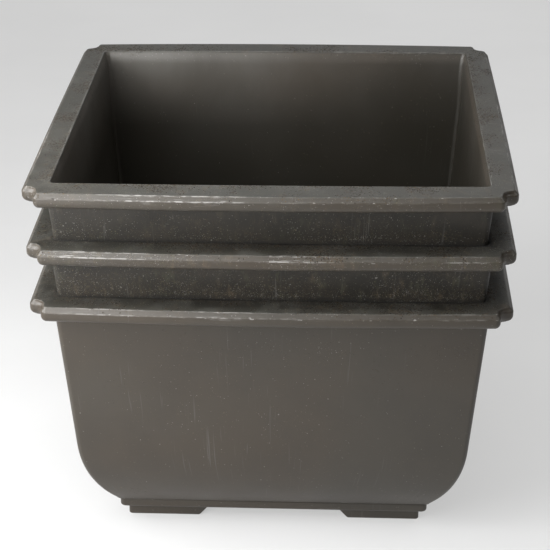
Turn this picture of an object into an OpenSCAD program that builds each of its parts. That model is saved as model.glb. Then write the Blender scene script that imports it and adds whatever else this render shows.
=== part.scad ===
// Stack of three square plant training pots, one nested in the next.
// Each pot is a single moulding: a tapered square wall that rounds in to a low
// plinth on four corner feet, under an overhanging rim with notched corners.
// The stack stands on Z = 0, centred on the Z axis, with its front facing -Y.

/* [Wall] */
// Inside width of the mouth, measured at the rim
mouth_w = 147.6; // [140:0.2:148]
// Height of one pot, from its feet to the top of its rim
pot_h = 99; // [96:0.5:110]
// Thickness of the wall
wall_t = 1.45; // [1:0.05:1.5]
// Lean of the wall away from vertical, in degrees
wall_taper = 4.8; // [4.7:0.1:6]
// Height at which the wall starts to round in towards the base
belly_z = 37.5; // [36:0.5:40]
// Radius of the rounding at the foot of the wall
belly_r = 50; // [48:1:53]

/* [Rim] */
// Width of the rim across its left and right edges
rim_w = 165; // [162:0.5:170]
// Depth of the rim across its front and back edges
rim_d = 168; // [162:0.5:172]
// Height of the band round the rim
rim_h = 5.5; // [5:0.1:8]
// Bevel along the top outer edge of the rim
rim_bevel = 1.6; // [0.5:0.1:2]
// Rounding along the lower outer edge of the rim
rim_round = 2.2; // [1:0.1:2.5]
// Thickness of the lip that hangs down under the rim
lip_t = 3; // [2.8:0.1:3.5]
// Thickness of the rim's flat top
rim_top_t = 2; // [1.6:0.1:2.5]
// Gap from the wall's top corner to the inner corner of each rim notch
notch_margin = 2.6; // [1.5:0.1:3]
// Bevel round the inside of the mouth
mouth_bevel = 0.9; // [0.3:0.1:1.2]

/* [Base] */
// Width of the plinth under the wall
plinth_w = 114; // [112:0.5:114]
// Height of the plinth's upper edge
plinth_z = 8.8; // [8.4:0.1:9.4]
// Height of the feet below the plinth
foot_h = 4.7; // [3:0.1:5]
// Distance that the feet stand in from the plinth's face
foot_step = 2.8; // [1.5:0.1:3.5]
// Length of each foot along the ground
foot_l = 26.5; // [20:0.5:35]
// Thickness of each arm of the L-shaped feet
foot_t = 5.5; // [4:0.1:7]
// Length of the slope at the inner end of each foot
foot_slope = 4.2; // [2:0.1:6]
// Rounding of the outer lower corner of each foot
foot_round = 1; // [0.5:0.1:1.5]
// Thickness of the floor
floor_t = 2; // [1.6:0.1:2.5]
// Diameter of each drainage hole
drain_d = 14; // [8:1:18]
// Distance between neighbouring drainage holes
drain_pitch = 52; // [40:1:60]

/* [Nesting] */
// Rise of each pot above the one that it stands in
nest_rise = 21; // [21:0.5:30]

/* [Hidden] */

pot_colour = "#5f5851";
arc_steps = 14;
round_steps = 6;
eps = 0.01;
reach = 400;

rim_z = pot_h - rim_h;
floor_z = plinth_z + 0.4;
foot_half = plinth_w / 2 - foot_step;
wall_half = mouth_w / 2 + wall_t / cos(wall_taper);
notch_half = wall_half + notch_margin;
// Half-width of the hollow under the rim, which always ends inside the wall
hollow_half = min(notch_half - lip_t, wall_half - 1);

// Centre of the belly's arc, which meets the leaning wall without a break
wall_half_at_belly = wall_half - (pot_h - belly_z) * tan(wall_taper);
arc_x = wall_half_at_belly - belly_r * cos(wall_taper);
arc_z = belly_z + belly_r * sin(wall_taper);

// Points along the belly at radius r, from height z_low up to the leaning wall
function belly_points(r, z_low) =
    let (low = asin((arc_z - z_low) / r))
    [for (i = [0 : arc_steps])
        let (a = low + (wall_taper - low) * i / arc_steps)
        [arc_x + r * cos(a), arc_z - r * sin(a)]];

// Half-width of the leaning wall at height z, for the surface of belly radius r
function wall_at(r, z) =
    arc_x + r * cos(wall_taper) + (z - arc_z + r * sin(wall_taper)) * tan(wall_taper);

// A right-hand outline and its mirror image, joined into one closed outline
function both_sides(right) =
    concat(right, [for (i = [len(right) - 1 : -1 : 0]) [-right[i][0], right[i][1]]]);

function outside_outline() =
    both_sides(concat(belly_points(belly_r, plinth_z), [[wall_half, pot_h]]));

function inside_outline() =
    let (r = belly_r - wall_t)
    both_sides(concat(
        belly_points(r, floor_z),
        [[wall_at(r, pot_h - mouth_bevel), pot_h - mouth_bevel],
         [mouth_w / 2 + mouth_bevel, pot_h],
         [mouth_w / 2 + mouth_bevel, pot_h + 1]]));

// Section through the rim's band: rounded below, bevelled above
function rim_outline(half) =
    both_sides(concat(
        [for (i = [0 : round_steps])
            let (a = -90 + 90 * i / round_steps)
            [half - rim_round + rim_round * cos(a), rim_z + rim_round + rim_round * sin(a)]],
        [[half, pot_h - rim_bevel],
         [half - rim_bevel, pot_h]]));

// Extrude an outline along X, or along Y, through the whole pot
module along_x(points) {
    rotate([90, 0, 90])
        linear_extrude(reach, center = true)
            polygon(points);
}

module along_y(points) {
    rotate([90, 0, 0])
        linear_extrude(reach, center = true)
            polygon(points);
}

// A four-sided solid with one outline seen from the front and one from the side
module four_sided(front, side) {
    intersection() {
        along_y(front);
        along_x(side);
    }
}

// Box centred on the Z axis, from height z0 to z1
module block(w, d, z0, z1) {
    translate([-w / 2, -d / 2, z0])
        cube([w, d, z1 - z0]);
}

module rim() {
    difference() {
        union() {
            four_sided(rim_outline(notch_half), rim_outline(rim_d / 2));
            four_sided(rim_outline(rim_w / 2), rim_outline(notch_half));
        }
        // The rim is hollow underneath, behind its lip
        block(2 * hollow_half, rim_d - 2 * lip_t, rim_z - 1, pot_h - rim_top_t);
        block(rim_w - 2 * lip_t, 2 * hollow_half, rim_z - 1, pot_h - rim_top_t);
    }
}

// One arm of a foot, along the left half of the front edge
module foot_arm() {
    half = foot_half;
    translate([0, -half + foot_t, 0])
        rotate([90, 0, 0])
            linear_extrude(foot_t)
                polygon([
                    [-half + foot_round, 0],
                    [-half + foot_l, 0],
                    [-half + foot_l + foot_slope, foot_h + eps],
                    [-half, foot_h + eps],
                    [-half, foot_round]]);
}

module feet() {
    for (turn = [0 : 90 : 270])
        rotate([0, 0, turn]) {
            foot_arm();
            mirror([1, 0, 0])
                foot_arm();
        }
}

module base() {
    inner_w = 2 * (foot_half - foot_t);
    difference() {
        block(plinth_w, plinth_w, foot_h, plinth_z + eps);
        block(inner_w, inner_w, foot_h - 1, floor_z - floor_t);
    }
    feet();
}

module drain_holes() {
    for (x = [-1, 1], y = [-1, 1])
        translate([x * drain_pitch / 2, y * drain_pitch / 2, 0])
            cylinder(h = 2 * plinth_z, d = drain_d, $fn = 64);
}

module pot() {
    color(pot_colour)
        difference() {
            union() {
                rim();
                four_sided(outside_outline(), outside_outline());
                base();
            }
            four_sided(inside_outline(), inside_outline());
            drain_holes();
        }
}

module lower_pot() {
    pot();
}

module middle_pot() {
    translate([0, 0, nest_rise])
        pot();
}

module upper_pot() {
    translate([0, 0, 2 * nest_rise])
        pot();
}

lower_pot();
middle_pot();
upper_pot();
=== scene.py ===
import bpy
import math
from mathutils import Matrix, Vector, geometry


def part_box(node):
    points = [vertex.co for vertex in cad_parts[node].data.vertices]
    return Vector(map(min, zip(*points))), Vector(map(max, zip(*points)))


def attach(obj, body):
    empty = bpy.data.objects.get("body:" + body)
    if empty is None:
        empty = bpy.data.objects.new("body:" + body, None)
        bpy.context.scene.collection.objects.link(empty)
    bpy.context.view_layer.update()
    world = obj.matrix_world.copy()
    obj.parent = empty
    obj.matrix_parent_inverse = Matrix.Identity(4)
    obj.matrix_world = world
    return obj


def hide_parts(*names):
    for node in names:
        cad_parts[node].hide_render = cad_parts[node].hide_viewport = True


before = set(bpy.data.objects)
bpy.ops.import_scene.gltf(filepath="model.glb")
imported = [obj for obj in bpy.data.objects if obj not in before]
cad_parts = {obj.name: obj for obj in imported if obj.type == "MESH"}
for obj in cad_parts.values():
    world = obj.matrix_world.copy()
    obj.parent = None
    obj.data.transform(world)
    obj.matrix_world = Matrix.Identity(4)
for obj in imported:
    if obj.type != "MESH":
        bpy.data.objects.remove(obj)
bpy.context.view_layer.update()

MM = 0.001
SIGNS = (-1, 1)

# Sizes in millimetres. Those of the rim, wall, floor and feet are the CAD pots' own.
POT_H = 99.0
RIM_X, RIM_Y = 82.5, 84.0
RIM_BAND = 5.5
NOTCH = 77.86
NOTCH_OUT, NOTCH_IN = 1.8, 2.6
BEVEL = 1.6
LOWER_ROUND = 2.2
LIP = 3.0
TOP_T = 2.0
WALL_TOP = 75.26
MOUTH = 73.35
MOUTH_ROUND = 0.6
WALL_T = 1.45
TAPER = math.radians(4.8)
BELLY_R = 50.0
BELLY_Z = 37.5
PLINTH = 57.0
FLOOR_Z = 9.2
FLOOR_UNDER = 7.2
FOOT_H = 4.7
FOOT = 54.2
FOOT_L = 26.5
FOOT_T = 5.5
FOOT_SLOPE = 4.2
DRAIN_R = 7.0
DRAIN_AT = 26.0
DRAIN_ROUND = 0.45
DRAIN_POINTS = 40

# The inner wall thickens towards the mouth, then flares out over its last few millimetres
SWELL, SWELL_FROM = 0.9, 76.0
FLARE_Z, FLARE_H = 93.4, 5.0

# How far the long sides bow outwards at their middle: the wall, and the flange along the front and the sides
BOW_WALL = 0.8
BOW_FLANGE_FRONT, BOW_FLANGE_SIDE = 2.3, 0.35

# Heights of the rings on the plain parts of the inner and outer wall
INSIDE_Z = (11.6, 14, 17, 20, 23, 26, 29, 32, 35, 38, 41, 45, 52, 60, 68, 76, 82, 85, 88, 90.5, 92.4)
OUTSIDE_Z = (95.5, 93, 90, 84, 81, 79.4, 78.5, 77.4, 76, 68, 60, 52, 45, 41, 39, 37.5, 36, 34, 32, 30, 28, 26, 24,
             22, 20, 18, 16, 14, 12.4, 11, 9.9)

ARC_X = WALL_TOP - (POT_H - BELLY_Z) * math.tan(TAPER) - BELLY_R * math.cos(TAPER)
ARC_Z = BELLY_Z + BELLY_R * math.sin(TAPER)


# ---------------------------------------------------------------- outlines in plan

N_SIDE = 16
N_ARC = 6
N_END = 3
CORNER_POINTS = 3 * (N_ARC + 1) + 2 * N_END


def arc(cx, cy, r, a0, a1, n):
    out = []
    for i in range(n + 1):
        a = math.radians(a0 + (a1 - a0) * i / n)
        out.append((cx + r * math.cos(a), cy + r * math.sin(a)))
    return out


def between(p, q, n):
    return [(p[0] + (q[0] - p[0]) * (i + 1) / (n + 1), p[1] + (q[1] - p[1]) * (i + 1) / (n + 1))
            for i in range(n)]


def side_run(length):
    """Points from 0 to length, the last few close together next to the corner."""
    main = length - 0.6
    out = [main * i / (N_SIDE - 2) for i in range(N_SIDE - 1)]
    return out + [length - 0.25]


def mirror_round(quarter):
    """The front-right quarter of an outline, repeated for the other three."""
    q2 = [(x, -y) for x, y in reversed(quarter)]
    q3 = [(-x, -y) for x, y in quarter]
    q4 = [(-x, y) for x, y in reversed(quarter)]
    return quarter[:-1] + q2[:-1] + q3[:-1] + q4[:-1]


def plain(hx, hy, r):
    """A square outline with rounded corners."""
    corner = arc(hx - r, -hy + r, r, -90, 0, CORNER_POINTS - 1)
    run_x = side_run(hx - r)
    run_y = side_run(hy - r)
    quarter = [(x, -hy) for x in run_x] + corner + [(hx, -y) for y in reversed(run_y)]
    return mirror_round(quarter)


def notched(inset, r_out, r_in):
    """The rim's outline with its notched corners, set in by inset."""
    hx, hy, n = RIM_X - inset, RIM_Y - inset, NOTCH - inset
    ro = max(r_out - inset, 0.35)
    ri = min(r_in + inset, 4.25)
    a = arc(n - ro, -hy + ro, ro, -90, 0, N_ARC)
    b = arc(n + ri, -n - ri, ri, 180, 90, N_ARC)
    c = arc(hx - ro, -n + ro, ro, -90, 0, N_ARC)
    run_x = side_run(n - ro)
    run_y = side_run(n - ro)
    corner = a + between(a[-1], b[0], N_END) + b + between(b[-1], c[0], N_END) + c
    # towards the top of the bevel the notch closes up a little
    t = 0.35 * smooth(inset, 0.6, 1.6)
    corner = mix(corner, [a[0]] + between(a[0], c[-1], CORNER_POINTS - 2) + [c[-1]], t)
    quarter = [(x, -hy) for x in run_x] + corner
    quarter += [(hx, -y) for y in reversed(run_y)]
    return mirror_round(quarter)


def mix(p, q, t):
    """Outline p blended towards outline q."""
    return [(a[0] + (b[0] - a[0]) * t, a[1] + (b[1] - a[1]) * t) for a, b in zip(p, q)]


# ---------------------------------------------------------------- rings up and down the pot

def wall_x(r, z):
    """Half-width of the wall's surface with belly radius r, at height z."""
    tangent = ARC_Z - r * math.sin(TAPER)
    if z >= tangent:
        return ARC_X + r * math.cos(TAPER) + (z - tangent) * math.tan(TAPER)
    return ARC_X + math.sqrt(r * r - (ARC_Z - z) ** 2)


def smooth(v, lo, hi):
    """0 up to lo, 1 from hi, and a smooth step between."""
    t = min(max((v - lo) / (hi - lo), 0.0), 1.0)
    return t * t * (3 - 2 * t)


class Rings:
    """The pot's skin as a list of rings: (outline, height, wear). All have the same number of points."""

    def __init__(self):
        self.rows = []

    def add(self, outline, z, wear=0.0):
        self.rows.append((outline, z, wear))

    def square(self, h, z, r, wear=0.0):
        self.add(plain(h, h, r), z, wear)

    def rim(self, inset, z, wear=0.0):
        self.add(notched(inset, NOTCH_OUT, NOTCH_IN), z, wear)


def pot_rings():
    """The rings from the inside of the floor, over the rim and down to the underside, and how many are inside."""
    g = Rings()
    inner = BELLY_R - WALL_T

    # floor edge and belly, inside
    x0 = wall_x(inner, FLOOR_Z)
    g.square(x0 - 4.2, FLOOR_Z, 1.5)
    g.square(x0 - 3.4, FLOOR_Z, 1.6)
    start, mid = (x0 - 3.0, FLOOR_Z), (x0, FLOOR_Z)
    end = (wall_x(inner, FLOOR_Z + 2.4), FLOOR_Z + 2.4)
    for i in range(1, 6):
        t = i / 6
        x = (1 - t) ** 2 * start[0] + 2 * t * (1 - t) * mid[0] + t * t * end[0]
        z = (1 - t) ** 2 * start[1] + 2 * t * (1 - t) * mid[1] + t * t * end[1]
        g.square(x, z, 1.8)
    for z in INSIDE_Z:
        g.square(wall_x(inner, z) - SWELL * smooth(z, SWELL_FROM, FLARE_Z), z, 1.8)
    # the mouth flares a little inside the rim's band, then rounds over
    start = wall_x(inner, FLARE_Z) - SWELL
    for k in range(0, 9):
        t = k / 8
        z = FLARE_Z + FLARE_H * t
        g.square(start + (MOUTH - start) * (0.25 * t + 0.75 * t * t), z, 1.8, 0.15 if k == 8 else 0.0)
    for k in range(1, 7):
        a = math.radians(90 * k / 6)
        out = MOUTH_ROUND * (1 - math.cos(a))
        g.square(MOUTH + out, POT_H - MOUTH_ROUND * (1 - math.sin(a)), 1.8 + out,
                 (0.2, 0.4, 0.6, 0.7, 0.6, 0.4)[k - 1])
    lip = MOUTH + MOUTH_ROUND
    inside_rows = len(g.rows)
    g.square(lip + 0.25, POT_H, 2.7, 0.3)
    g.square(lip + 0.7, POT_H, 3.0, 0.12)

    # flat top, out to the bevel round the notched edge
    inside = plain(lip + 1.3, lip + 1.3, 3.6)
    outside = notched(BEVEL + 0.9, NOTCH_OUT, NOTCH_IN)
    g.add(inside, POT_H, 0.0)
    g.add(mix(inside, outside, 0.5), POT_H, 0.0)
    g.add(outside, POT_H, 0.0)
    g.rim(BEVEL + 0.25, POT_H, 0.3)
    g.rim(BEVEL + 0.02, POT_H - 0.015, 0.75)
    g.rim(BEVEL - 0.12, POT_H - 0.07, 1.0)
    g.rim(BEVEL - 0.27, POT_H - 0.18, 0.9)
    g.rim(BEVEL - 0.45, POT_H - 0.38, 0.35)
    g.rim(BEVEL * 0.5, POT_H - BEVEL * 0.5 - 0.02, 0.1)
    g.rim(0.36, POT_H - BEVEL + 0.34, 0.35)
    g.rim(0.14, POT_H - BEVEL + 0.12, 0.9)
    g.rim(0.05, POT_H - BEVEL - 0.04, 1.0)
    g.rim(0.0, POT_H - BEVEL - 0.22, 0.7)
    g.rim(0.0, POT_H - BEVEL - 0.5, 0.25)
    g.rim(0.0, POT_H - BEVEL - 1.0, 0.14)
    low = POT_H - RIM_BAND
    for k in range(0, 7):
        a = math.radians(90 * k / 6)
        g.rim(LOWER_ROUND * (1 - math.cos(a)), low + LOWER_ROUND * (1 - math.sin(a)),
              (0.1, 0.05, 0.1, 0.3, 0.45, 0.5, 0.4)[k])
    # underside of the lip and the hollow behind it
    g.rim(LIP - 0.35, low, 0.1)
    g.rim(LIP - 0.08, low + 0.08)
    g.rim(LIP, low + 0.35)
    g.rim(LIP, POT_H - TOP_T - 0.5)
    g.rim(LIP + 0.15, POT_H - TOP_T - 0.12)
    g.rim(LIP + 0.5, POT_H - TOP_T)
    outer_x = wall_x(BELLY_R, POT_H - TOP_T)
    g.square(outer_x + 0.6, POT_H - TOP_T, 2.6)
    g.square(outer_x + 0.25, POT_H - TOP_T - 0.2, 2.3)
    g.square(wall_x(BELLY_R, POT_H - TOP_T - 0.6), POT_H - TOP_T - 0.6, 2.0)
    # outer wall and belly
    for z in OUTSIDE_Z:
        g.square(wall_x(BELLY_R, z), z, 2.0)
    edge = wall_x(BELLY_R, 9.4)
    g.square(edge, 9.35, 2.0, 0.3)
    g.square(edge - 0.25, 8.95, 1.9, 0.4)
    g.square(edge - 0.75, 8.8, 1.8)
    g.square(PLINTH - 0.55, 8.75, 1.5)
    g.square(PLINTH - 0.4, 8.5, 1.5)
    g.square(PLINTH - 0.08, 8.1, 1.8)
    # plinth
    g.square(PLINTH, 7.7, 1.8, 0.1)
    g.square(PLINTH, 5.9, 1.8, 0.1)
    for k in range(1, 6):
        a = math.radians(90 * k / 5)
        g.square(PLINTH - 1.0 * (1 - math.cos(a)), 5.7 - 1.0 * math.sin(a), 1.8, 0.2)
    g.square(PLINTH - 1.5, FOOT_H, 1.6)
    ring_in = FOOT - FOOT_T
    g.square(ring_in + 0.6, FOOT_H, 1.5)
    g.square(ring_in + 0.15, FOOT_H + 0.15, 1.4)
    g.square(ring_in, FOOT_H + 0.6, 1.4)
    g.square(ring_in, FLOOR_UNDER - 0.6, 1.4)
    g.square(ring_in - 0.2, FLOOR_UNDER - 0.15, 1.3)
    g.square(ring_in - 0.7, FLOOR_UNDER, 1.2)
    return g.rows, inside_rows


def bowed(x, y, z):
    """The walls bow out a little towards the mouth, and the long flanges rather more."""
    def push(along, out, half, wall, flange):
        w = min(max((abs(out) - 74.5) / (half - 76.1), 0.0), 1.0)
        wall *= smooth(z, 45.0, 96.0) * min(max((abs(out) - 50.0) / 15.0, 0.0), 1.0)
        return math.copysign((wall + (flange - wall) * w) * max(0.0, 1 - (along / half) ** 2), out)
    return (x + push(y, x, RIM_X, 0.0, BOW_FLANGE_SIDE),
            y + push(x, y, RIM_Y, BOW_WALL, BOW_FLANGE_FRONT))


def painted_mouth_light(x, z):
    """How strongly light is painted on the inside near the mouth: it fades down the inside of the pot from the
    mouth, and towards the right.
    """
    return smooth(z, 66.0, 98.0) * (1 - 0.75 * smooth(x, -55.0, 72.0))


def collects(out, z):
    """How much dust gathers: on the ledge by the mouth, and on the wall just above a lower pot's rim."""
    if z > POT_H - 0.05:
        return 1 - smooth(out, MOUTH, MOUTH + 6.0)
    return smooth(z, 74.0, 79.0) * (1 - smooth(z, 79.0, 86.0)) * (out > 70)


def painted_under_rim_shade(outside, out, z):
    """How much shade is painted: on the outer wall above a lower pot's rim, and on the ledge by the mouth, under
    the rims that overhang them.
    """
    if z > POT_H - 0.05:
        return 1 - smooth(out, MOUTH + 3.5, MOUTH + 9.0)
    return smooth(z, 62.0, 76.0) * (1 - smooth(z, 93.0, 95.0)) if outside else 0.0


def painted_gap_shadow(outside, out, z):
    """Where a contact shadow is painted, in the gap between two nested pots."""
    if z > POT_H - MOUTH_ROUND:
        return 1 - smooth(out, MOUTH + 0.7, MOUTH + 2.0)
    return smooth(z, 76.0, 77.4) * (1 - smooth(z, 78.5, 79.4)) if outside else 0.0


# ---------------------------------------------------------------- one pot

# Points of the rim beyond this on both axes are at a notch, where the edges are less worn
NOTCH_FROM, NOTCH_WEAR = 73.5, 0.55
# The flat floor and the feet are far from the skin in the flow map, so that no pattern repeats
BASE_FLOW = 400

DRAINS = [(sx * DRAIN_AT, sy * DRAIN_AT) for sx in SIGNS for sy in SIGNS]


def circle(cx, cy, r):
    out = []
    for i in range(DRAIN_POINTS):
        a = 2 * math.pi * i / DRAIN_POINTS
        out.append((cx + r * math.cos(a), cy + r * math.sin(a)))
    return out


def disc_with_holes(verts, faces, outline, z, up):
    """A flat sheet inside outline, at height z, with the four drainage holes left open."""
    pts = [Vector(p) for p in outline]
    loops = [list(range(len(pts)))]
    for cx, cy in DRAINS:
        base = len(pts)
        pts += [Vector(p) for p in circle(cx, cy, DRAIN_R + DRAIN_ROUND)]
        loops.append(list(range(base, len(pts))))
    edges = [(l[i], l[(i + 1) % len(l)]) for l in loops for i in range(len(l))]
    out_pts, _, tris, *_ = geometry.delaunay_2d_cdt(pts, edges, [], 1, 1e-4)
    start = len(verts)
    verts += [(p.x, p.y, z) for p in out_pts]
    for t in tris:
        c = sum((out_pts[i] for i in t), Vector((0, 0))) / len(t)
        if any(math.hypot(c.x - cx, c.y - cy) < DRAIN_R + 0.4 for cx, cy in DRAINS):
            continue
        p, q, r = (out_pts[i] for i in t[:3])
        ccw = (q - p).cross(r - p) > 0
        order = list(t) if ccw == up else list(reversed(t))
        faces.append([start + i for i in order])


def drain_walls(verts, faces):
    """The walls of the drainage holes, rounded at both ends."""
    n = DRAIN_POINTS
    rows = [(DRAIN_R + DRAIN_ROUND, FLOOR_Z), (DRAIN_R + 0.2, FLOOR_Z - 0.06), (DRAIN_R + 0.04, FLOOR_Z - 0.22),
            (DRAIN_R, FLOOR_Z - DRAIN_ROUND), (DRAIN_R, FLOOR_UNDER + DRAIN_ROUND),
            (DRAIN_R + 0.04, FLOOR_UNDER + 0.22), (DRAIN_R + 0.2, FLOOR_UNDER + 0.06),
            (DRAIN_R + DRAIN_ROUND, FLOOR_UNDER)]
    for cx, cy in DRAINS:
        start = len(verts)
        for r, z in rows:
            verts += [(x, y, z) for x, y in circle(cx, cy, r)]
        for k in range(len(rows) - 1):
            for i in range(n):
                a, b = start + k * n + i, start + k * n + (i + 1) % n
                faces.append([a, a + n, b + n, b])


def rounded_prism(verts, faces, outline, z0, z1, r_bottom):
    """A prism whose outline runs counter-clockwise, rounded along its lower edge and open on top."""
    n = len(outline)

    def inset(d):
        out = []
        for i in range(n):
            p, q, s = Vector(outline[i - 1]), Vector(outline[i]), Vector(outline[(i + 1) % n])
            e1, e2 = (q - p).normalized(), (s - q).normalized()
            n1, n2 = Vector((-e1.y, e1.x)), Vector((-e2.y, e2.x))
            m = (n1 + n2)
            m = m / max(m.length_squared / 2, 0.35)
            out.append(q + m * d)
        return out
    rows = [(0, z1), (0, z0 + r_bottom + 0.1)]
    for k in range(0, 6):
        a = math.radians(90 * k / 5)
        rows.append((r_bottom * (1 - math.cos(a)), z0 + r_bottom * (1 - math.sin(a))))
    rows.append((r_bottom + 0.35, z0))
    start = len(verts)
    for d, z in rows:
        verts += [(p.x, p.y, z) for p in inset(d)]
    for k in range(len(rows) - 1):
        for i in range(n):
            a, b = start + k * n + i, start + k * n + (i + 1) % n
            faces.append([a, a + n, b + n, b])
    last = start + (len(rows) - 1) * n
    faces.append([last + i for i in reversed(range(n))])


def foot(verts, faces, sx, sy):
    """One L-shaped corner foot: a corner block and two arms with sloping inner ends."""
    h, t, r = FOOT, FOOT_T, 1.3
    # outline of the L in the quadrant x>0, y>0, counter-clockwise
    tip = h - FOOT_L
    out = arc(h - r, h - r, r, 0, 90, 5)
    out += [(h - 8, h), (h - 17, h), (tip + 0.3, h), (tip, h - 0.3), (tip, h - t + 0.3), (tip + 0.3, h - t)]
    out += [(h - 17, h - t), (h - t - 0.8, h - t), (h - t, h - t - 0.8), (h - t, h - 17)]
    out += [(h - t, tip + 0.3), (h - t + 0.3, tip), (h - 0.3, tip), (h, tip + 0.3), (h, h - 17), (h, h - 8)]
    out = [(x * sx, y * sy) for x, y in out]
    if sx * sy < 0:
        out.reverse()
    first = len(verts)
    rounded_prism(verts, faces, out, 0.0, FOOT_H + 0.5, 0.55)
    # slope the inner ends
    for i in range(first, len(verts)):
        x, y, z = verts[i]
        ax, ay = abs(x), abs(y)
        k = min(max(z / FOOT_H, 0), 1.1) * FOOT_SLOPE
        if ax < h - 12 and ay > h - t - 0.01:
            w = min(1, (h - 12 - ax) / (h - 12 - tip))
            x -= math.copysign(k * w, x)
        elif ay < h - 12 and ax > h - t - 0.01:
            w = min(1, (h - 12 - ay) / (h - 12 - tip))
            y -= math.copysign(k * w, y)
        verts[i] = (x, y, z)


def surface_notes(rows, inside_rows):
    """What the material needs to know at each point of the skin, by attribute name."""
    notes = {"wear": [], "nook": [], "mouth_light": [], "inner": [], "under_rim_shade": [], "gap_shadow": []}
    for k, (outline, z, w) in enumerate(rows):
        within, outside = k < inside_rows, k > inside_rows
        for x, y in outline:
            out = max(abs(x), abs(y))
            at_notch = min(abs(x), abs(y)) > NOTCH_FROM and z > POT_H - RIM_BAND
            notes["wear"].append(w * NOTCH_WEAR if at_notch else w)
            notes["nook"].append(collects(out, z))
            # Three of these notes place painted light and shade: light inside near the mouth, shade under the
            # rims, and a contact shadow where the pots nest
            notes["mouth_light"].append(painted_mouth_light(x, z) if within else 0.0)
            notes["inner"].append(1.0 - smooth(z, 94.0, 98.5) if within else 0.0)
            notes["under_rim_shade"].append(painted_under_rim_shade(outside, out, z))
            notes["gap_shadow"].append(painted_gap_shadow(outside, out, z))
    return notes


def skin_faces(verts, rows):
    """The quads between the rings, and each corner's place on the skin: round the pot, and along its profile."""
    n = len(rows[0][0])
    ref = plain(WALL_TOP, WALL_TOP, 2.0)
    run = [0.0]
    for i in range(n):
        p, q = ref[i], ref[(i + 1) % n]
        run.append(run[-1] + math.hypot(q[0] - p[0], q[1] - p[1]))
    up = [0.0]
    for k in range(1, len(rows)):
        p, q = verts[(k - 1) * n], verts[k * n]
        up.append(up[-1] + math.dist(p, q))
    faces, flow = [], []
    for k in range(len(rows) - 1):
        for i in range(n):
            j = (i + 1) % n
            faces.append([k * n + i, k * n + j, (k + 1) * n + j, (k + 1) * n + i])
            flow.append([(run[i], up[k]), (run[i + 1], up[k]), (run[i + 1], up[k + 1]), (run[i], up[k + 1])])
    return faces, flow


def build_pot(name, material, base_z, tilt, shift):
    """One pot's skin as an object, standing at height base_z, tilted in degrees and shifted in millimetres."""
    rows, inside_rows = pot_rings()
    verts = [(*bowed(x, y, z), z) for outline, z, _ in rows for x, y in outline]
    notes = surface_notes(rows, inside_rows)
    faces, flow = skin_faces(verts, rows)
    disc_with_holes(verts, faces, rows[0][0], FLOOR_Z, True)
    disc_with_holes(verts, faces, rows[-1][0], FLOOR_UNDER, False)
    drain_walls(verts, faces)
    for sx in SIGNS:
        for sy in SIGNS:
            foot(verts, faces, sx, sy)

    mesh = bpy.data.meshes.new(name)
    mesh.from_pydata([(x * MM, y * MM, z * MM) for x, y, z in verts], [], faces)
    mesh.update()
    layer = mesh.uv_layers.new(name="flow")
    for p in mesh.polygons:
        p.use_smooth = True
        for c, li in enumerate(p.loop_indices):
            if p.index < len(flow):
                u, v = flow[p.index][c]
            else:
                co = mesh.vertices[mesh.loops[li].vertex_index].co
                u, v = co.x / MM + BASE_FLOW, co.y / MM + BASE_FLOW
            layer.data[li].uv = (u * MM, v * MM)
    for note, values in notes.items():
        att = mesh.attributes.new(note, "FLOAT", "POINT")
        att.data.foreach_set("value", values + [0.0] * (len(verts) - len(values)))
    mesh.materials.append(material)
    obj = bpy.data.objects.new(name, mesh)
    bpy.context.scene.collection.objects.link(obj)
    obj.location = (shift[0] * MM, shift[1] * MM, base_z)
    obj.rotation_euler = (math.radians(tilt[0]), math.radians(tilt[1]), 0)
    return obj


# ---------------------------------------------------------------- materials

BROWN = (0.0445, 0.0350, 0.0250, 1)
GREY = (0.0410, 0.0355, 0.0275, 1)
SHADE = (0.020, 0.017, 0.014, 1)
# painted shade and cool light from above, laid on faces that look up
UP_FACE_SHADE = (0.030, 0.0325, 0.0285, 1)
# painted shade under the rims, where the pots overhang one another
OVERHANG_SHADE = (0.0105, 0.0090, 0.0060, 1)
# painted shade deep inside the pot, fading out near the mouth
INSIDE_SHADE = (0.010, 0.0095, 0.0065, 1)
OLIVE_SOIL = (0.050, 0.050, 0.030, 1)
TAN_SOIL = (0.085, 0.062, 0.038, 1)
SMEAR = (0.060, 0.055, 0.048, 1)
# painted light: a pale band on the inner wall below the mouth, brightest on the left
INSIDE_LIGHT = (0.150, 0.144, 0.132, 1)
WORN = (0.30, 0.29, 0.275, 1)
SCRATCH = (0.10, 0.095, 0.088, 1)
POWDER = (0.105, 0.103, 0.092, 1)
TAN_SPECK = (0.13, 0.105, 0.060, 1)
PALE_SPECK = (0.24, 0.23, 0.215, 1)
DARK_CRUMB = (0.009, 0.007, 0.005, 1)
BROWN_CRUMB = (0.075, 0.052, 0.028, 1)
# painted contact shadow, near black, in the gap where the pots nest
GAP_SHADOW = (0.0020, 0.0018, 0.0014, 1)

ROUGH_LO, ROUGH_HI = 0.34, 0.44
# roughness of worn edges, of the painted shade under the rims, of dust, and of the painted contact shadow, in
# that order
ROUGH_WORN, ROUGH_OVERHANG_SHADE, ROUGH_DUST, ROUGH_GAP_SHADOW = 0.55, 0.56, 0.85, 0.95

# Specks of dust, finest first: cells per metre, share of cells filled, size in cells
SPECKS = ((2900.0, 0.55, 0.50), (1500.0, 0.11, 0.38), (620.0, 0.05, 0.24))
PALE_SHARE = 0.7

# Heights in metres of what stands on the surface
FINE_H, WAVE_H, BRUSH_H, CRUMB_H, SPECK_H = 0.000010, 0.00010, 0.00003, 0.00020, 0.00006


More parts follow.
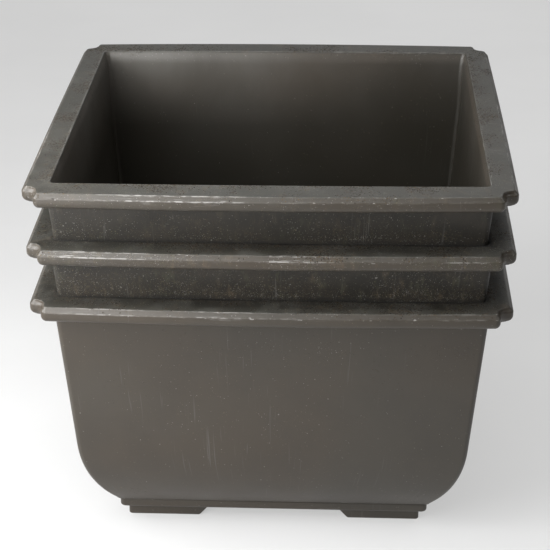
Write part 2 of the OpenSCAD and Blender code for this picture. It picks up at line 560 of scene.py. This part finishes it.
class Nodes:
    """A thin helper that keeps node graphs readable."""

    def __init__(self, tree):
        self.tree = tree

    def add(self, kind, **values):
        n = self.tree.nodes.new(kind)
        for k, v in values.items():
            setattr(n, k, v)
        return n

    def link(self, a, b):
        self.tree.links.new(a, b)

    def put(self, sock, v):
        if isinstance(v, bpy.types.NodeSocket):
            self.link(v, sock)
        else:
            sock.default_value = v

    def math(self, op, a, b=0.0, c=None, clamp=False):
        n = self.add("ShaderNodeMath", operation=op, use_clamp=clamp)
        self.put(n.inputs[0], a)
        self.put(n.inputs[1], b)
        if c is not None:
            self.put(n.inputs[2], c)
        return n.outputs[0]

    def vector(self, op, v, s):
        n = self.add("ShaderNodeVectorMath", operation=op)
        self.put(n.inputs[0], v)
        self.put(n.inputs[1], s)
        return n.outputs[0]

    def attribute(self, name):
        return self.add("ShaderNodeAttribute", attribute_name=name).outputs["Fac"]

    def noise(self, v, scale, detail=2.0, rough=0.5, dist=0.0):
        n = self.add("ShaderNodeTexNoise")
        self.put(n.inputs["Vector"], v)
        n.inputs["Scale"].default_value = scale
        n.inputs["Detail"].default_value = detail
        n.inputs["Roughness"].default_value = rough
        n.inputs["Distortion"].default_value = dist
        return n.outputs[0]

    def drawn(self, flow, across, along, detail, rough, dist=0.0, depth=None):
        """Noise in the flow map, with its own number of waves per metre round the pot and along its profile."""
        v = self.vector("MULTIPLY", flow, (across, along, across if depth is None else depth))
        return self.noise(v, 1.0, detail, rough, dist)

    def cells(self, v, scale):
        """Distance to the nearest random point, and three random numbers for each of them."""
        n = self.add("ShaderNodeTexVoronoi", feature="F1")
        self.put(n.inputs["Vector"], v)
        n.inputs["Scale"].default_value = scale
        n.inputs["Randomness"].default_value = 1.0
        pick = self.add("ShaderNodeSeparateColor")
        self.link(n.outputs["Color"], pick.inputs[0])
        return n.outputs["Distance"], pick.outputs

    def ramp(self, v, lo, hi, out_lo=0.0, out_hi=1.0):
        n = self.add("ShaderNodeMapRange", interpolation_type="SMOOTHSTEP", clamp=True)
        self.put(n.inputs["Value"], v)
        n.inputs["From Min"].default_value = lo
        n.inputs["From Max"].default_value = hi
        n.inputs["To Min"].default_value = out_lo
        n.inputs["To Max"].default_value = out_hi
        return n.outputs[0]

    def mix(self, f, a, b, kind="RGBA"):
        n = self.add("ShaderNodeMix", data_type=kind)
        first = 6 if kind == "RGBA" else 2
        self.put(n.inputs[0], f)
        self.put(n.inputs[first], a)
        self.put(n.inputs[first + 1], b)
        return n.outputs[2 if kind == "RGBA" else 0]


class Place:
    """Where a point of a pot is, as sockets that every part of the material shares."""

    def __init__(self, g, seed, walls, ledges):
        coord = g.add("ShaderNodeTexCoord")
        self.p = g.vector("ADD", coord.outputs["Object"], (seed * 0.37, seed * 0.21, 0.0))
        uvm = g.add("ShaderNodeUVMap", uv_map="flow")
        self.flow = g.vector("ADD", uvm.outputs[0], (seed * 0.131, 0.0, seed * 0.07))
        self.wear = g.attribute("wear")
        self.nook = g.attribute("nook")
        self.mouth_light = g.attribute("mouth_light")
        self.inner = g.attribute("inner")
        geo = g.add("ShaderNodeNewGeometry")
        sep = g.add("ShaderNodeSeparateXYZ")
        g.link(geo.outputs["Normal"], sep.inputs[0])
        self.rise = sep.outputs[2]
        self.upward = g.ramp(self.rise, 0.55, 0.95)
        lying = g.mix(self.upward, walls, ledges, "FLOAT")
        self.lying = g.math("MULTIPLY", lying, g.math("MULTIPLY_ADD", self.inner, -0.93, 1.0))


def moulded(g, at):
    """The plastic's colour: a slow drift between warmer and greyer, and painted shade and cool light that make
    faces that look up darker and greyer.
    """
    drift = g.noise(at.p, 14.0, 2.0, 0.5)
    colour = g.mix(g.ramp(drift, 0.3, 0.7), BROWN, GREY)
    cloud = g.noise(at.p, 48.0, 4.0, 0.6)
    colour = g.mix(g.ramp(cloud, 0.35, 0.7, 0.0, 0.22), colour, SHADE)
    # faces that look up get painted shade and cool light, darker and greyer
    return g.mix(g.math("MULTIPLY", at.upward, 0.6), colour, UP_FACE_SHADE)


def shaded_and_mottled(g, at, colour, wall_shade, ledge_shade, wall_gap_shadow, ledge_gap_shadow):
    """Painted shade under the rims and a painted contact shadow where the pots nest, both broken up at random,
    and a dried soil mottle that their sliding has drawn out.
    """
    shade_mask = g.math("MULTIPLY", g.attribute("under_rim_shade"), g.mix(at.upward, wall_shade, ledge_shade, "FLOAT"))
    blotch = g.drawn(at.flow, 40.0, 90.0, 4.0, 0.62)
    shade_mask = g.math("MULTIPLY", shade_mask, g.ramp(blotch, 0.3, 0.65, 0.65, 1.0), clamp=True)
    # painted shade under the rims
    colour = g.mix(shade_mask, colour, OVERHANG_SHADE)
    mottle = g.drawn(at.flow, 420.0, 150.0, 4.0, 0.66)
    tone = g.noise(at.p, 95.0, 2.0, 0.5)
    soil = g.mix(g.ramp(tone, 0.40, 0.60), OLIVE_SOIL, TAN_SOIL)
    share = g.math("MULTIPLY", g.ramp(mottle, 0.50, 0.74, 0.0, 0.62), at.lying, clamp=True)
    colour = g.mix(share, colour, soil)
    # painted contact shadow in the gap where the pots nest
    gap_shadow = g.math("MULTIPLY", g.attribute("gap_shadow"), g.mix(at.upward, wall_gap_shadow, ledge_gap_shadow, "FLOAT"))
    gap_shadow = g.math("MULTIPLY", gap_shadow, g.ramp(blotch, 0.32, 0.62, 0.25, 1.0))
    return colour, shade_mask, gap_shadow


def smears_and_inside_shading(g, at, colour):
    """Faint pale smears from handling, and inside, painted shade low down and painted light towards the mouth."""
    smear = g.drawn(at.flow, 16.0, 60.0, 3.0, 0.6, 0.4)
    colour = g.mix(g.ramp(smear, 0.52, 0.85, 0.0, 0.16), colour, SMEAR)
    # painted shade inside the pot, held off where light is painted by the mouth
    inside_shade_mask = g.math("SUBTRACT", at.inner, g.math("MULTIPLY", at.mouth_light, 1.6), clamp=True)
    colour = g.mix(g.math("MULTIPLY", inside_shade_mask, 0.75), colour, INSIDE_SHADE)
    # painted light on the inner wall near the mouth, broken up at random
    mouth_light_mix = g.drawn(at.flow, 30.0, 18.0, 4.0, 0.6, 0.3)
    mouth_light_mix = g.math("MULTIPLY", g.ramp(mouth_light_mix, 0.25, 0.75, 0.20, 0.55), at.mouth_light)
    return g.mix(mouth_light_mix, colour, INSIDE_LIGHT)


def rubbed(g, at, colour, scuff):
    """Rubbed edges: a broken thin line along the edge, streaky scuffs across the bevel, and chips."""
    patch = g.drawn(at.flow, 26.0, 14.0, 2.0, 0.5)
    streak = g.drawn(at.flow, 95.0, 3600.0, 3.0, 0.72)
    breaks = g.ramp(g.drawn(at.flow, 310.0, 900.0, 2.0, 0.6), 0.42, 0.60, 0.15, 1.0)
    nick = g.drawn(at.flow, 520.0, 1100.0, 2.0, 0.6)
    line = g.math("MULTIPLY", g.ramp(at.wear, 0.55, 0.95), g.ramp(patch, 0.40, 0.62, 0.08, 0.85))
    line = g.math("MULTIPLY", line, breaks)
    brush = g.math("MULTIPLY", g.ramp(streak, 0.54, 0.66), g.ramp(patch, 0.47, 0.62, 0.15, 1.0))
    brush = g.math("MULTIPLY", g.math("MULTIPLY", brush, breaks), g.ramp(at.wear, 0.05, 0.3))
    chips = g.math("MULTIPLY", g.ramp(nick, 0.66, 0.74), g.ramp(at.wear, 0.2, 0.6, 0.0, 0.8))
    worn = g.math("MAXIMUM", g.math("MAXIMUM", line, brush), chips)
    worn = g.math("MULTIPLY", worn, scuff, clamp=True)
    return g.mix(worn, colour, WORN), worn, brush


def scratched(g, at, colour):
    """Hairline scratches: upright ones where the pots slide past each other, and a few level ones."""
    upright = g.ramp(g.drawn(at.flow, 1500.0, 45.0, 1.0, 0.5, 0.3, depth=60.0), 0.66, 0.74, 0.0, 0.45)
    where = g.drawn(at.flow, 60.0, 30.0, 2.0, 0.5, 0.3)
    hair = g.math("MULTIPLY", upright, g.ramp(where, 0.48, 0.64))
    hair = g.math("MULTIPLY", hair, g.math("MULTIPLY_ADD", at.inner, -0.8, 1.0))
    level = g.ramp(g.drawn(at.flow, 26.0, 1100.0, 1.0, 0.5, 0.25), 0.745, 0.78, 0.0, 0.25)
    hair = g.math("MAXIMUM", hair, g.math("MULTIPLY", level, g.ramp(where, 0.36, 0.30)))
    return g.mix(hair, colour, SCRATCH)


def dusty(g, at, colour, ledges):
    """Dust: powder on whatever faces up, and specks of several sizes."""
    haze = g.noise(at.p, 80.0, 5.0, 0.68)
    powder = g.math("MULTIPLY", g.ramp(haze, 0.42, 0.70, 0.0, 0.45), g.math("MULTIPLY", at.upward, ledges))
    colour = g.mix(powder, colour, POWDER)
    density = g.noise(at.p, 34.0, 3.0, 0.6)
    crowd = g.math("MULTIPLY", g.ramp(density, 0.35, 0.72, 0.15, 1.0), at.lying, clamp=True)
    crowd = g.math("MULTIPLY", crowd, g.math("MULTIPLY_ADD", at.nook, 2.2, 1.0))
    specks = 0.0
    for scale, share, big in SPECKS:
        away, pick = g.cells(at.p, scale)
        size = g.math("MULTIPLY_ADD", pick[1], big * 0.7, big * 0.3)
        ragged = g.math("MULTIPLY_ADD", g.noise(at.p, scale * 2.2, 1.0), 0.35, g.math("SUBTRACT", size, 0.175))
        keep = g.math("LESS_THAN", pick[0], g.math("MULTIPLY", crowd, share))
        speck = g.math("MULTIPLY", g.math("LESS_THAN", away, ragged), keep)
        tint = g.mix(g.math("GREATER_THAN", pick[2], PALE_SHARE), TAN_SPECK, PALE_SPECK)
        strength = g.math("MULTIPLY", speck, g.math("MULTIPLY_ADD", pick[2], 0.45, 0.18))
        colour = g.mix(strength, colour, tint)
        specks = g.math("ADD", specks, speck)
    return colour, powder, specks


def crumbed(g, at, colour):
    """Dark and brown crumbs of soil on the ledges, most of all against the wall above."""
    away, pick = g.cells(at.p, 1900.0)
    clump = g.math("MULTIPLY_ADD", at.nook, 0.10, g.noise(at.p, 60.0, 4.0, 0.65))
    here = g.math("MULTIPLY", g.ramp(clump, 0.48, 0.70, 0.0, 0.8), at.lying)
    crumb = g.math("MULTIPLY", g.math("LESS_THAN", pick[0], here), g.math("LESS_THAN", away, 0.55))
    crumb = g.math("MULTIPLY", crumb, g.ramp(at.rise, 0.0, 0.8, 0.3, 1.0))
    return g.mix(crumb, colour, g.mix(pick[2], DARK_CRUMB, BROWN_CRUMB)), crumb


def plastic(name, seed, walls, ledges, scuff, wall_shade, ledge_shade, wall_gap_shadow, ledge_gap_shadow):
    """Brown-grey moulded plastic. walls and ledges set how dusty it is, scuff how worn its edges are, and the
    last four how much shade and contact shadow are painted on walls and ledges.
    """
    mat = bpy.data.materials.new(name)
    mat.use_nodes = True
    mat.node_tree.nodes.clear()
    g = Nodes(mat.node_tree)
    out = g.add("ShaderNodeOutputMaterial")
    bsdf = g.add("ShaderNodeBsdfPrincipled")
    g.link(bsdf.outputs[0], out.inputs[0])

    at = Place(g, seed, walls, ledges)
    colour = moulded(g, at)
    colour, shade_mask, gap_shadow = shaded_and_mottled(g, at, colour, wall_shade, ledge_shade, wall_gap_shadow, ledge_gap_shadow)
    colour = smears_and_inside_shading(g, at, colour)
    colour, worn, brush = rubbed(g, at, colour, scuff)
    colour = scratched(g, at, colour)
    colour, powder, specks = dusty(g, at, colour, ledges)
    colour, crumb = crumbed(g, at, colour)
    # the painted contact shadow goes on last
    g.link(g.mix(gap_shadow, colour, GAP_SHADOW), bsdf.inputs["Base Color"])

    # sheen: duller where it is scuffed or dusty, and where shade and the contact shadow are painted
    rough = g.ramp(g.noise(at.p, 36.0, 4.0, 0.6), 0.3, 0.75, ROUGH_LO, ROUGH_HI)
    rough = g.mix(worn, rough, ROUGH_WORN, "FLOAT")
    # duller where shade is painted under the rims
    rough = g.mix(shade_mask, rough, ROUGH_OVERHANG_SHADE, "FLOAT")
    rough = g.mix(g.math("ADD", powder, crumb, clamp=True), rough, ROUGH_DUST, "FLOAT")
    # duller where the contact shadow is painted
    rough = g.mix(gap_shadow, rough, ROUGH_GAP_SHADOW, "FLOAT")
    g.link(rough, bsdf.inputs["Roughness"])
    bsdf.inputs["Specular IOR Level"].default_value = 0.5
    bsdf.inputs["IOR"].default_value = 1.49

    # relief: moulding texture, slight waviness, scuffs and grit
    h = g.math("MULTIPLY", g.noise(at.p, 1500.0, 2.0, 0.6), FINE_H)
    h = g.math("MULTIPLY_ADD", g.noise(at.p, 28.0, 1.0, 0.4), WAVE_H, h)
    h = g.math("MULTIPLY_ADD", brush, BRUSH_H, h)
    h = g.math("MULTIPLY_ADD", crumb, CRUMB_H, h)
    h = g.math("MULTIPLY_ADD", specks, SPECK_H, h)
    bump = g.add("ShaderNodeBump")
    bump.inputs["Strength"].default_value = 1.0
    bump.inputs["Distance"].default_value = 1.0
    g.link(h, bump.inputs["Height"])
    g.link(bump.outputs[0], bsdf.inputs["Normal"])
    return mat


def paper():
    """The pale floor. It glows a little, and fades slightly towards the front, away from the light."""
    mat = bpy.data.materials.new("pale_floor")
    mat.use_nodes = True
    g = Nodes(mat.node_tree)
    bsdf = next(n for n in mat.node_tree.nodes if n.type == "BSDF_PRINCIPLED")
    coord = g.add("ShaderNodeTexCoord")
    n = g.noise(coord.outputs["Object"], 9.0, 4.0, 0.5)
    colour = g.mix(g.ramp(n, 0.3, 0.7), (0.29, 0.29, 0.29, 1), (0.32, 0.32, 0.32, 1))
    place = g.add("ShaderNodeSeparateXYZ")
    g.link(coord.outputs["Object"], place.inputs[0])
    fade = g.ramp(place.outputs[1], -0.50, -0.13, 0.80, 1.0)
    g.link(g.mix(fade, (0.0, 0.0, 0.0, 1), colour), bsdf.inputs["Base Color"])
    bsdf.inputs["Roughness"].default_value = 0.85
    bsdf.inputs["Specular IOR Level"].default_value = 0.2
    bsdf.inputs["Emission Color"].default_value = (1.0, 1.0, 0.995, 1)
    g.link(g.math("MULTIPLY", fade, FLOOR_GLOW), bsdf.inputs["Emission Strength"])
    return mat


# ---------------------------------------------------------------- the stack

# node, seed, dirt, wear and painted shade, tilt in degrees, shift in millimetres
# The last four amounts of each pot set how much shade and contact shadow are painted on its walls and ledges
POTS = [
    ("lower_pot", 1.0, dict(walls=0.08, ledges=0.9, scuff=0.9, wall_shade=0.0, ledge_shade=0.9,
                            wall_gap_shadow=0.0, ledge_gap_shadow=0.9), (0.0, 0.0), (0.0, 0.0)),
    ("middle_pot", 2.0, dict(walls=1.0, ledges=0.9, scuff=1.0, wall_shade=0.95, ledge_shade=0.9,
                             wall_gap_shadow=0.5, ledge_gap_shadow=0.9), (0.0, -0.108), (0.10, 0.0)),
    ("upper_pot", 3.0, dict(walls=0.45, ledges=0.8, scuff=1.0, wall_shade=0.95, ledge_shade=0.05,
                            wall_gap_shadow=0.5, ledge_gap_shadow=0.0), (0.0, -0.311), (0.085, -0.05)),
]
for node, seed, dirt_and_shade, tilt, shift in POTS:
    lo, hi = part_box(node)
    skin = build_pot(node + "_moulding", plastic(node + "_plastic", seed, **dirt_and_shade), lo.z, tilt, shift)
    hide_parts(node)
    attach(skin, node)

# ---------------------------------------------------------------- floor, light and camera

# The floor lies a hair below the feet, so that the two faces don't flicker
FLOOR_HALF, FLOOR_DROP = 40.0, 0.00005
FLOOR_GLOW = 0.47

corners = [(-1, -1), (1, -1), (1, 1), (-1, 1)]
floor_mesh = bpy.data.meshes.new("floor")
floor_mesh.from_pydata([(x * FLOOR_HALF, y * FLOOR_HALF, -FLOOR_DROP) for x, y in corners], [], [(0, 1, 2, 3)])
floor_mesh.materials.append(paper())
floor = bpy.data.objects.new("floor", floor_mesh)
bpy.context.scene.collection.objects.link(floor)


def softbox(name, at, aim, size, power):
    """A square area light at a place, turned to face aim."""
    data = bpy.data.lights.new(name, "AREA")
    data.shape = "SQUARE"
    data.size = size
    data.energy = power
    lamp = bpy.data.objects.new(name, data)
    bpy.context.scene.collection.objects.link(lamp)
    lamp.location = at
    lamp.rotation_euler = (Vector(aim) - Vector(at)).to_track_quat("-Z", "Y").to_euler()


LIT = (0.0, 0.0, 0.07)
# name, position, size and power; all of them are aimed at the stack
LIGHTS = [
    ("key_top", (-0.117, -0.203, 0.491), 0.28, 0.22),
    ("right_fill", (1.414, 0.000, 1.735), 1.10, 10.0),
    ("back", (0.000, 1.414, 1.735), 1.10, 4.50),
    ("overhead", (0.000, -0.077, 2.249), 1.10, 8.00),
    ("back_low", (0.000, 2.010, 0.945), 1.40, 2.40),
    ("back_right_low", (1.005, 1.741, 0.945), 1.40, 1.50),
    ("key_high", (-0.175, -0.175, 0.297), 0.20, 0.75),
    ("key_low", (-0.186, -0.266, 0.107), 0.15, 0.33),
    ("key", (-0.144, -0.270, 0.174), 0.15, 0.38),
    ("front_top", (0.000, -0.169, 0.413), 0.25, 0.20),
    ("key_left", (-0.285, -0.104, 0.225), 0.20, 1.12),
    ("front_near", (-0.069, -0.393, 0.180), 0.15, 0.09),
]
for name, at, size, power in LIGHTS:
    softbox(name, at, LIT, size, power)

world = bpy.data.worlds.new("studio")
world.use_nodes = True
sky = world.node_tree.nodes["Background"]
sky.inputs["Color"].default_value = (0.95, 0.97, 1.0, 1)
sky.inputs["Strength"].default_value = 0.02
bpy.context.scene.world = world

# The camera turns about a point on the stack: degrees, and metres from that point
AZ, EL, ROLL = 2.292, 24.317, -0.019
DIST = 0.69573
AIM_Z, AIM_RIGHT, AIM_UP = 0.066, -0.00152, 0.00795
SENSOR, LENS = 36.0, 117.73
az, el = math.radians(AZ), math.radians(EL)
look = Vector((-math.sin(az) * math.cos(el), math.cos(az) * math.cos(el), -math.sin(el)))
right = Vector((math.cos(az), math.sin(az), 0))
up = right.cross(look)
roll = math.radians(ROLL)
right, up = math.cos(roll) * right + math.sin(roll) * up, -math.sin(roll) * right + math.cos(roll) * up
aim = Vector((0, 0, AIM_Z)) + AIM_RIGHT * right + AIM_UP * up
cam_data = bpy.data.cameras.new("camera")
cam = bpy.data.objects.new("camera", cam_data)
bpy.context.scene.collection.objects.link(cam)
turn = Matrix((right, up, -look)).transposed()
cam.matrix_world = Matrix.Translation(aim - look * DIST) @ turn.to_4x4()
cam_data.sensor_width = SENSOR
cam_data.lens = LENS
cam_data.clip_start = 0.05
cam_data.clip_end = 20.0
cam_data.dof.use_dof = False
bpy.context.scene.camera = cam
bpy.context.scene.view_settings.view_transform = "Standard"
